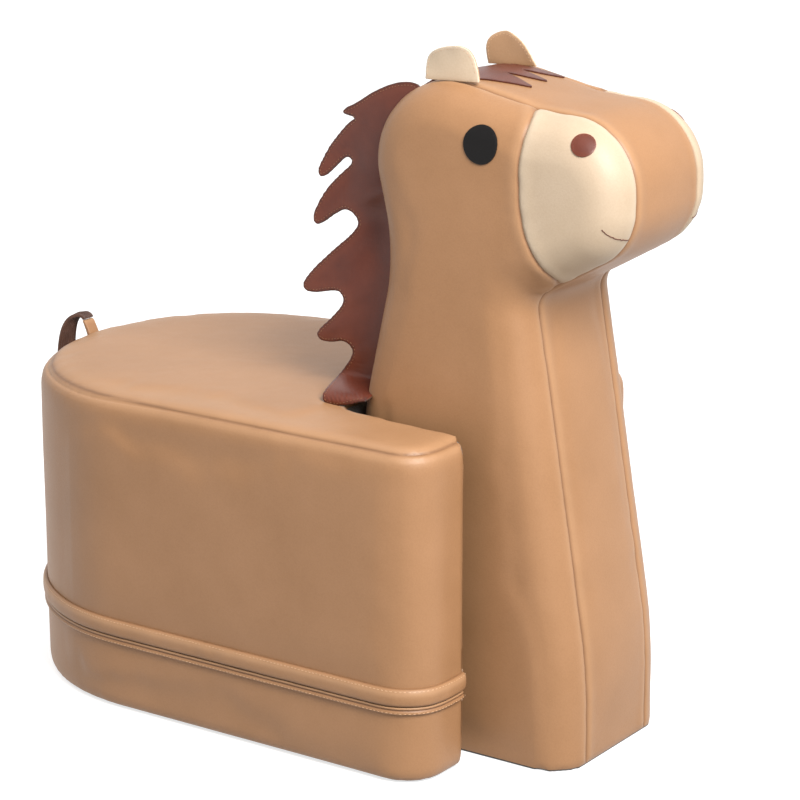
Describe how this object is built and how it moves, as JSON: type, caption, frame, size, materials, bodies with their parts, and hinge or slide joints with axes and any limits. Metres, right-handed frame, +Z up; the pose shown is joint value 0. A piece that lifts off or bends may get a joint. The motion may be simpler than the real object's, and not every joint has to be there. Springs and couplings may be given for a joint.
{
  "type": "ride-on horse seat",
  "caption": "Child's padded ride-on seat shaped as a horse: U-shaped foam seat block with a removable neck and head block standing in its slot.",
  "frame": {"origin": "on the floor, under the centre of the seat's half-round rear end", "axes": "+X the way the horse faces, +Y the horse's left, +Z up"},
  "size_m": [0.6512, 0.3732, 0.6229],
  "materials": {
    "tan_leather": "soft pebbled leatherette",
    "cream_leather": "soft pebbled leatherette",
    "chestnut_leather": "smooth double-layer leatherette",
    "dark_leather": "smooth leatherette strips",
    "black_leather": "smooth leatherette",
    "grey_lining": "woven lining",
    "base_fabric": "non-slip woven base cloth",
    "foam": "open-cell foam",
    "zip_cloth": "woven zip tape",
    "zip_nylon": "moulded nylon coil",
    "zip_metal": "enamelled slider",
    "thread": "sewing thread"
  },
  "bodies": {
    "seat": {"seat_top_panel": "tan_leather", "seat_side_band": "tan_leather", "seat_lower_band": "tan_leather", "upper_zip_flap": "tan_leather", "lower_zip_hem": "tan_leather", "seat_bottom_panel": "base_fabric", "slot_lining": "grey_lining", "seat_foam_rear": "foam", "seat_foam_arm_right": "foam", "seat_foam_arm_left": "foam", "seat_comfort_layer": "foam", "zip_tape_upper": "zip_cloth", "zip_tape_lower": "zip_cloth", "zip_teeth": "zip_nylon", "zip_end_stops": "zip_nylon", "slot_loop_tapes": "grey_lining", "tail_tab": "tan_leather"},
    "zip_slider": {"zip_slider": "zip_metal"},
    "tail": {"tail_strips": "dark_leather"},
    "right_ear": {"right_ear_outer": "cream_leather", "right_ear_inner": "tan_leather"},
    "left_ear": {"left_ear_outer": "cream_leather", "left_ear_inner": "tan_leather"},
    "neck": {"neck_foam_core": "foam", "right_side_panel": "tan_leather", "left_side_panel": "tan_leather", "neck_front_gusset": "tan_leather", "neck_rear_gusset": "tan_leather", "neck_bottom_panel": "base_fabric", "right_muzzle_patch": "cream_leather", "left_muzzle_patch": "cream_leather", "right_eye": "black_leather", "left_eye": "black_leather", "right_nostril": "chestnut_leather", "left_nostril": "chestnut_leather", "right_mouth_stitch": "thread", "left_mouth_stitch": "thread", "forelock": "chestnut_leather", "right_mane": "chestnut_leather", "left_mane": "chestnut_leather", "neck_hook_tapes": "grey_lining"}
  },
  "joints": [
    {"name": "neck_slide", "type": "slide", "parent": "seat", "child": "neck", "axis": [1, 0, 0], "range_m": [0, 0.2]},
    {"name": "right_ear_fold", "type": "hinge", "parent": "neck", "child": "right_ear", "pos_m": [0.277, -0.0506, 0.5939], "axis": [1, 0, 0], "range_deg": [-35, 60], "stiffness_Nm_per_rad": 0.08},
    {"name": "left_ear_fold", "type": "hinge", "parent": "neck", "child": "left_ear", "pos_m": [0.277, 0.0506, 0.5939], "axis": [-1, 0, 0], "range_deg": [-35, 60], "stiffness_Nm_per_rad": 0.08},
    {"name": "tail_swing", "type": "hinge", "parent": "seat", "child": "tail", "pos_m": [-0.17678, 0, 0.3081], "axis": [0, 1, 0], "range_deg": [0, 90]},
    {"name": "zip_slide", "type": "slide", "parent": "seat", "child": "zip_slider", "axis": [-1, 0, 0], "range_m": [0, 0.27]}
  ]
}
